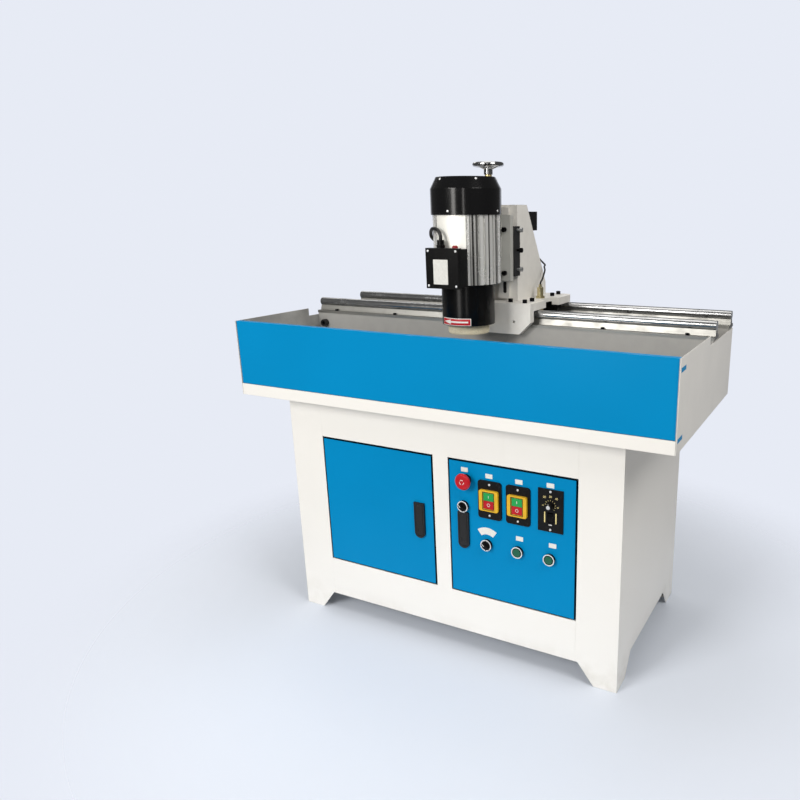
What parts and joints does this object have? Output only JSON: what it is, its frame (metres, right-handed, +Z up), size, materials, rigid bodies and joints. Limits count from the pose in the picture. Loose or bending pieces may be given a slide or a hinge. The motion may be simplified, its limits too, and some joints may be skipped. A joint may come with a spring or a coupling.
{
  "type": "planer knife grinder",
  "caption": "Floor-standing planer knife grinder: cabinet with doors and controls, splash tray, round rails, carriage with vertical cup-wheel motor head, tilting magnetic chuck.",
  "frame": {"origin": "on the floor under the middle of the tray", "axes": "+X along the rails to the right seen from the front, +Y to the back, +Z up"},
  "size_m": [1.25, 0.59, 1.29],
  "materials": {
    "cabinet_white": "smooth warm white powder coat",
    "tray_grey": "smooth grey-white powder coat",
    "panel_blue": "gloss blue powder coat",
    "bed_grey": "fine textured grey enamel on castings and plate",
    "rail_aluminium": "extruded, clear",
    "rail_chrome": "hard chromed and ground",
    "dark_steel": "oiled steel",
    "rubber_black": "matt",
    "tank_steel": "plain galvanised sheet",
    "pump_blue": "gloss enamel",
    "device_grey": "moulded",
    "chuck_iron": "machined casting",
    "chuck_steel": "ground",
    "latch_black": "fine grained",
    "control_black": "satin",
    "switch_yellow": "moulded",
    "stop_red": "moulded",
    "jog_green": "moulded",
    "start_green": "moulded",
    "sensor_brass": "turned and threaded",
    "cable_black": "sheathed",
    "box_black": "gloss",
    "gear_motor_grey": "satin enamel",
    "machined_steel": "grey enamel, machined edges",
    "slide_black": "blackened",
    "motor_aluminium": "polished extrusion",
    "motor_black": "high gloss black",
    "spindle_steel": "turned",
    "wheel_cream": "bonded white corundum",
    "handwheel_chrome": "polished",
    "screw_brass": "turned"
  },
  "bodies": {
    "stand": {"cabinet_sides": "cabinet_white", "front_rails": "cabinet_white", "back_panel": "cabinet_white", "cabinet_floor": "cabinet_white", "partition": "cabinet_white", "tray_pan": "cabinet_white", "tray_front_plate": "panel_blue", "tray_ends": "tray_grey", "bed": "bed_grey", "rail_supports": "rail_aluminium", "rail_shafts": "rail_chrome", "drive_rack": "dark_steel", "trip_dogs": "dark_steel", "coolant_nozzle": "rubber_black", "coolant_tank": "tank_steel", "coolant_pump": "pump_blue", "electrics_units": "device_grey", "chuck_brackets": "chuck_iron", "door_hinges": "cabinet_white"},
    "left_door": {"left_door": "panel_blue", "left_latch_case": "latch_black"},
    "left_latch": {"left_latch_lever": "latch_black"},
    "right_door": {"right_door": "panel_blue", "right_latch_case": "latch_black", "control_collars": "control_black", "control_plates": "control_black", "switch_frames": "switch_yellow"},
    "right_latch": {"right_latch_lever": "latch_black"},
    "estop": {"estop_button": "stop_red"},
    "power_selector": {"selector_power": "control_black"},
    "coolant_selector": {"selector_coolant": "control_black"},
    "jog_left": {"jog_button_left": "jog_green"},
    "jog_right": {"jog_button_right": "jog_green"},
    "wheel_start_key": {"wheel_start": "start_green"},
    "wheel_stop_key": {"wheel_stop": "stop_red"},
    "travel_start_key": {"travel_start": "start_green"},
    "travel_stop_key": {"travel_stop": "stop_red"},
    "speed_dial": {"speed_knob": "control_black"},
    "direction_rocker": {"direction_toggle": "control_black"},
    "carriage": {"carriage_plate": "bed_grey", "bearing_blocks": "slide_black", "column": "bed_grey", "sensor": "sensor_brass", "sensor_cable": "cable_black", "junction_box": "box_black", "travel_motor": "gear_motor_grey"},
    "drive_pinion": {"pinion": "dark_steel"},
    "head": {"motor_plate": "machined_steel", "head_slide": "slide_black", "motor_body": "motor_aluminium", "fan_cover": "motor_black", "wheel_guard": "motor_black", "terminal_box": "box_black", "motor_lead": "cable_black"},
    "spindle": {"spindle": "spindle_steel", "cup_wheel": "wheel_cream"},
    "feed": {"handwheel": "handwheel_chrome", "feed_screw": "screw_brass"},
    "chuck": {"chuck_base": "chuck_iron", "magnet_chuck": "chuck_steel"}
  },
  "joints": [
    {"name": "carriage_travel", "type": "slide", "parent": "stand", "child": "carriage", "axis": [1, 0, 0], "range_m": [-0.42, 0.43]},
    {"name": "pinion_spin", "type": "hinge", "parent": "carriage", "child": "drive_pinion", "pos_m": [-0.005, 0.124, 0.813], "axis": [0, 1, 0], "range_deg": [-1545, 1510]},
    {"name": "head_feed", "type": "slide", "parent": "carriage", "child": "head", "axis": [0, 0, 1], "range_m": [-0.045, 0.035]},
    {"name": "handwheel_turn", "type": "hinge", "parent": "carriage", "child": "feed", "pos_m": [-0.005, 0.056, 1.2], "axis": [0, 0, 1], "range_deg": [-3155, 4955]},
    {"name": "wheel_spin", "type": "hinge", "parent": "head", "child": "spindle", "pos_m": [-0.005, -0.066, 1], "axis": [0, 0, 1], "continuous": true},
    {"name": "chuck_tilt", "type": "hinge", "parent": "stand", "child": "chuck", "pos_m": [0, -0.066, 0.757], "axis": [1, 0, 0], "range_deg": [0, 45]},
    {"name": "left_door_swing", "type": "hinge", "parent": "stand", "child": "left_door", "pos_m": [-0.379, -0.239, 0.364], "axis": [0, 0, -1], "range_deg": [0, 110]},
    {"name": "right_door_swing", "type": "hinge", "parent": "stand", "child": "right_door", "pos_m": [0.379, -0.239, 0.364], "axis": [0, 0, 1], "range_deg": [0, 110]},
    {"name": "left_latch_swing", "type": "hinge", "parent": "left_door", "child": "left_latch", "pos_m": [-0.0671, -0.24948, 0.4043], "axis": [-1, 0, 0], "range_deg": [0, 40]},
    {"name": "right_latch_swing", "type": "hinge", "parent": "right_door", "child": "right_latch", "pos_m": [0.07053, -0.24948, 0.4043], "axis": [-1, 0, 0], "range_deg": [0, 40]},
    {"name": "estop_press", "type": "slide", "parent": "right_door", "child": "estop", "axis": [0, 1, 0], "range_m": [0, 0.005], "stiffness_N_per_m": 1500},
    {"name": "power_turn", "type": "hinge", "parent": "right_door", "child": "power_selector", "pos_m": [0.07197, -0.245, 0.42784], "axis": [0, 1, 0], "range_deg": [0, 90]},
    {"name": "coolant_turn", "type": "hinge", "parent": "right_door", "child": "coolant_selector", "pos_m": [0.13894, -0.245, 0.33208], "axis": [0, 1, 0], "range_deg": [0, 90]},
    {"name": "jog_left_press", "type": "slide", "parent": "right_door", "child": "jog_left", "axis": [0, 1, 0], "range_m": [0, 0.003], "stiffness_N_per_m": 800},
    {"name": "jog_right_press", "type": "slide", "parent": "right_door", "child": "jog_right", "axis": [0, 1, 0], "range_m": [0, 0.003], "stiffness_N_per_m": 800},
    {"name": "wheel_start_press", "type": "slide", "parent": "right_door", "child": "wheel_start_key", "axis": [0, 1, 0], "range_m": [0, 0.003], "stiffness_N_per_m": 800},
    {"name": "wheel_stop_press", "type": "slide", "parent": "right_door", "child": "wheel_stop_key", "axis": [0, 1, 0], "range_m": [0, 0.003], "stiffness_N_per_m": 800},
    {"name": "travel_start_press", "type": "slide", "parent": "right_door", "child": "travel_start_key", "axis": [0, 1, 0], "range_m": [0, 0.003], "stiffness_N_per_m": 800},
    {"name": "travel_stop_press", "type": "slide", "parent": "right_door", "child": "travel_stop_key", "axis": [0, 1, 0], "range_m": [0, 0.003], "stiffness_N_per_m": 800},
    {"name": "speed_turn", "type": "hinge", "parent": "right_door", "child": "speed_dial", "pos_m": [0.31741, -0.245, 0.47414], "axis": [0, 1, 0], "range_deg": [-135, 135]},
    {"name": "direction_rock", "type": "hinge", "parent": "right_door", "child": "direction_rocker", "pos_m": [0.31741, -0.243, 0.44214], "axis": [1, 0, 0], "range_deg": [0, 20]}
  ],
  "couplings": [
    {"joint": "pinion_spin", "follows": "carriage_travel", "rad_per_m": -62.5},
    {"joint": "handwheel_turn", "follows": "head_feed", "rad_per_m": -1570.8}
  ]
}
